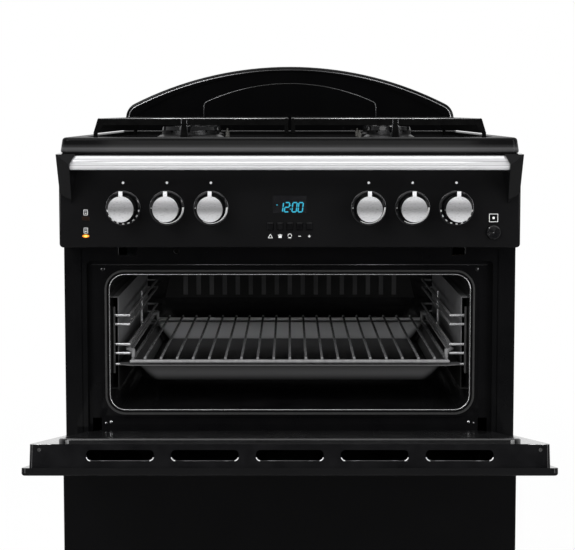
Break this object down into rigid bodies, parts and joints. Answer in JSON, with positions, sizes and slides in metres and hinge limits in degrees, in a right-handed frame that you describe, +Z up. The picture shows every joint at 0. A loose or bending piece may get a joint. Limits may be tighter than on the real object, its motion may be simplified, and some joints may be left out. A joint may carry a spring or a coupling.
{
  "type": "range cooker with double oven",
  "caption": "Freestanding gas range cooker with a four-burner hob, arched splashback, control panel with knobs and clock, and two ovens with drop-down doors, the upper one open.",
  "frame": {"origin": "on the floor, at the middle of the cooker's footprint with the upper door open", "axes": "+Z up, +X to the right seen from the front, +Y to the back"},
  "size_m": [0.598, 0.8702, 1.0107],
  "materials": {
    "black_enamel": "high gloss vitreous enamel",
    "dark_frame": "satin black paint",
    "oven_enamel": "speckled oven enamel",
    "cast_iron": "matt enamel",
    "chrome": "polished",
    "zinc_sheet": "galvanised",
    "aluminium": "cast, satin",
    "brass": "machined",
    "steel": "aluminised",
    "feet_plastic": "matt",
    "gloss_plastic": "gloss",
    "knob_black": "gloss with satin metal disc",
    "spindle_steel": "machined",
    "button_plastic": "gloss",
    "window_glass": "tinted",
    "lamp_amber": "translucent amber",
    "ceramic": "glazed",
    "seal_rubber": "woven heat seal"
  },
  "bodies": {
    "cooker_body": {"base_pan": "zinc_sheet", "burner_caps": "oven_enamel", "burner_heads": "aluminium", "cable_entry": "feet_plastic", "clock_module": "feet_plastic", "control_panel": "black_enamel", "display_window": "window_glass", "door_hinge_arms": "zinc_sheet", "door_seals": "seal_rubber", "flue_baffle": "oven_enamel", "gas_manifold": "brass", "gas_taps": "brass", "hob_top": "black_enamel", "indicator_lamps": "lamp_amber", "knob_bezels": "gloss_plastic", "levelling_feet": "feet_plastic", "lower_cavity": "oven_enamel", "lower_shelf": "chrome", "oven_burners": "steel", "oven_front_frame": "black_enamel", "plinth": "black_enamel", "rail_brackets": "black_enamel", "rear_panel": "zinc_sheet", "side_liners": "oven_enamel", "side_panel_left": "black_enamel", "side_panel_right": "black_enamel", "side_racks": "chrome", "spark_electrodes": "ceramic", "splashback": "black_enamel", "towel_rail": "chrome", "upper_cavity": "oven_enamel"},
    "upper_door": {"upper_door_outer_panel": "black_enamel", "upper_door_frame": "dark_frame", "upper_door_liner": "oven_enamel"},
    "lower_door": {"lower_door_outer_panel": "black_enamel", "lower_door_frame": "dark_frame", "lower_door_liner": "oven_enamel", "lower_door_glass": "window_glass"},
    "oven_shelf": {"upper_shelf": "chrome"},
    "tray": {"roasting_tray": "oven_enamel"},
    "grid_left": {"pan_support_left": "cast_iron"},
    "grid_right": {"pan_support_right": "cast_iron"},
    "tap_1": {"tap_spindle_1": "spindle_steel"},
    "control_1": {"knob_1": "knob_black"},
    "tap_2": {"tap_spindle_2": "spindle_steel"},
    "control_2": {"knob_2": "knob_black"},
    "tap_3": {"tap_spindle_3": "spindle_steel"},
    "control_3": {"knob_3": "knob_black"},
    "tap_4": {"tap_spindle_4": "spindle_steel"},
    "control_4": {"knob_4": "knob_black"},
    "tap_5": {"tap_spindle_5": "spindle_steel"},
    "control_5": {"knob_5": "knob_black"},
    "tap_6": {"tap_spindle_6": "spindle_steel"},
    "control_6": {"knob_6": "knob_black"},
    "key_1": {"timer_button_1": "button_plastic"},
    "key_2": {"timer_button_2": "button_plastic"},
    "key_3": {"timer_button_3": "button_plastic"},
    "key_4": {"timer_button_4": "button_plastic"},
    "key_5": {"timer_button_5": "button_plastic"},
    "light_key": {"light_button": "gloss_plastic"}
  },
  "joints": [
    {"name": "upper_door_hinge", "type": "hinge", "parent": "cooker_body", "child": "upper_door", "pos_m": [0, -0.1689, 0.4816], "axis": [1, 0, 0], "range_deg": [-78, 0]},
    {"name": "lower_door_hinge", "type": "hinge", "parent": "cooker_body", "child": "lower_door", "pos_m": [0, -0.1689, 0.108], "axis": [1, 0, 0], "range_deg": [0, 85]},
    {"name": "shelf_slide", "type": "slide", "parent": "cooker_body", "child": "oven_shelf", "axis": [0, -1, 0], "range_m": [0, 0.25]},
    {"name": "tray_slide", "type": "slide", "parent": "cooker_body", "child": "tray", "axis": [0, -1, 0], "range_m": [0, 0.25]},
    {"name": "left_pan_support_lift", "type": "slide", "parent": "cooker_body", "child": "grid_left", "axis": [0, 0, 1], "range_m": [0, 0.06]},
    {"name": "right_pan_support_lift", "type": "slide", "parent": "cooker_body", "child": "grid_right", "axis": [0, 0, 1], "range_m": [0, 0.06]},
    {"name": "tap_1_turn", "type": "hinge", "parent": "cooker_body", "child": "tap_1", "pos_m": [-0.2138, -0.1839, 0.8097], "axis": [0, -1, 0], "range_deg": [0, 270]},
    {"name": "knob_1_push", "type": "slide", "parent": "tap_1", "child": "control_1", "axis": [0, 1, 0], "range_m": [0, 0.004], "stiffness_N_per_m": 400, "springref_m": -0.001},
    {"name": "tap_2_turn", "type": "hinge", "parent": "cooker_body", "child": "tap_2", "pos_m": [-0.1575, -0.1839, 0.8097], "axis": [0, -1, 0], "range_deg": [0, 210]},
    {"name": "knob_2_push", "type": "slide", "parent": "tap_2", "child": "control_2", "axis": [0, 1, 0], "range_m": [0, 0.004], "stiffness_N_per_m": 400, "springref_m": -0.001},
    {"name": "tap_3_turn", "type": "hinge", "parent": "cooker_body", "child": "tap_3", "pos_m": [-0.1012, -0.1839, 0.8097], "axis": [0, -1, 0], "range_deg": [0, 210]},
    {"name": "knob_3_push", "type": "slide", "parent": "tap_3", "child": "control_3", "axis": [0, 1, 0], "range_m": [0, 0.004], "stiffness_N_per_m": 400, "springref_m": -0.001},
    {"name": "tap_4_turn", "type": "hinge", "parent": "cooker_body", "child": "tap_4", "pos_m": [0.1012, -0.1839, 0.8097], "axis": [0, -1, 0], "range_deg": [0, 210]},
    {"name": "knob_4_push", "type": "slide", "parent": "tap_4", "child": "control_4", "axis": [0, 1, 0], "range_m": [0, 0.004], "stiffness_N_per_m": 400, "springref_m": -0.001},
    {"name": "tap_5_turn", "type": "hinge", "parent": "cooker_body", "child": "tap_5", "pos_m": [0.1575, -0.1839, 0.8097], "axis": [0, -1, 0], "range_deg": [0, 210]},
    {"name": "knob_5_push", "type": "slide", "parent": "tap_5", "child": "control_5", "axis": [0, 1, 0], "range_m": [0, 0.004], "stiffness_N_per_m": 400, "springref_m": -0.001},
    {"name": "tap_6_turn", "type": "hinge", "parent": "cooker_body", "child": "tap_6", "pos_m": [0.2138, -0.1839, 0.8097], "axis": [0, -1, 0], "range_deg": [0, 270]},
    {"name": "knob_6_push", "type": "slide", "parent": "tap_6", "child": "control_6", "axis": [0, 1, 0], "range_m": [0, 0.004], "stiffness_N_per_m": 400, "springref_m": -0.001},
    {"name": "timer_button_1_press", "type": "slide", "parent": "cooker_body", "child": "key_1", "axis": [0, 1, 0], "range_m": [0, 0.001], "stiffness_N_per_m": 300, "springref_m": -0.001},
    {"name": "timer_button_2_press", "type": "slide", "parent": "cooker_body", "child": "key_2", "axis": [0, 1, 0], "range_m": [0, 0.001], "stiffness_N_per_m": 300, "springref_m": -0.001},
    {"name": "timer_button_3_press", "type": "slide", "parent": "cooker_body", "child": "key_3", "axis": [0, 1, 0], "range_m": [0, 0.001], "stiffness_N_per_m": 300, "springref_m": -0.001},
    {"name": "timer_button_4_press", "type": "slide", "parent": "cooker_body", "child": "key_4", "axis": [0, 1, 0], "range_m": [0, 0.001], "stiffness_N_per_m": 300, "springref_m": -0.001},
    {"name": "timer_button_5_press", "type": "slide", "parent": "cooker_body", "child": "key_5", "axis": [0, 1, 0], "range_m": [0, 0.001], "stiffness_N_per_m": 300, "springref_m": -0.001},
    {"name": "light_button_press", "type": "slide", "parent": "cooker_body", "child": "light_key", "axis": [0, 1, 0], "range_m": [0, 0.0025], "stiffness_N_per_m": 300, "springref_m": -0.001}
  ]
}
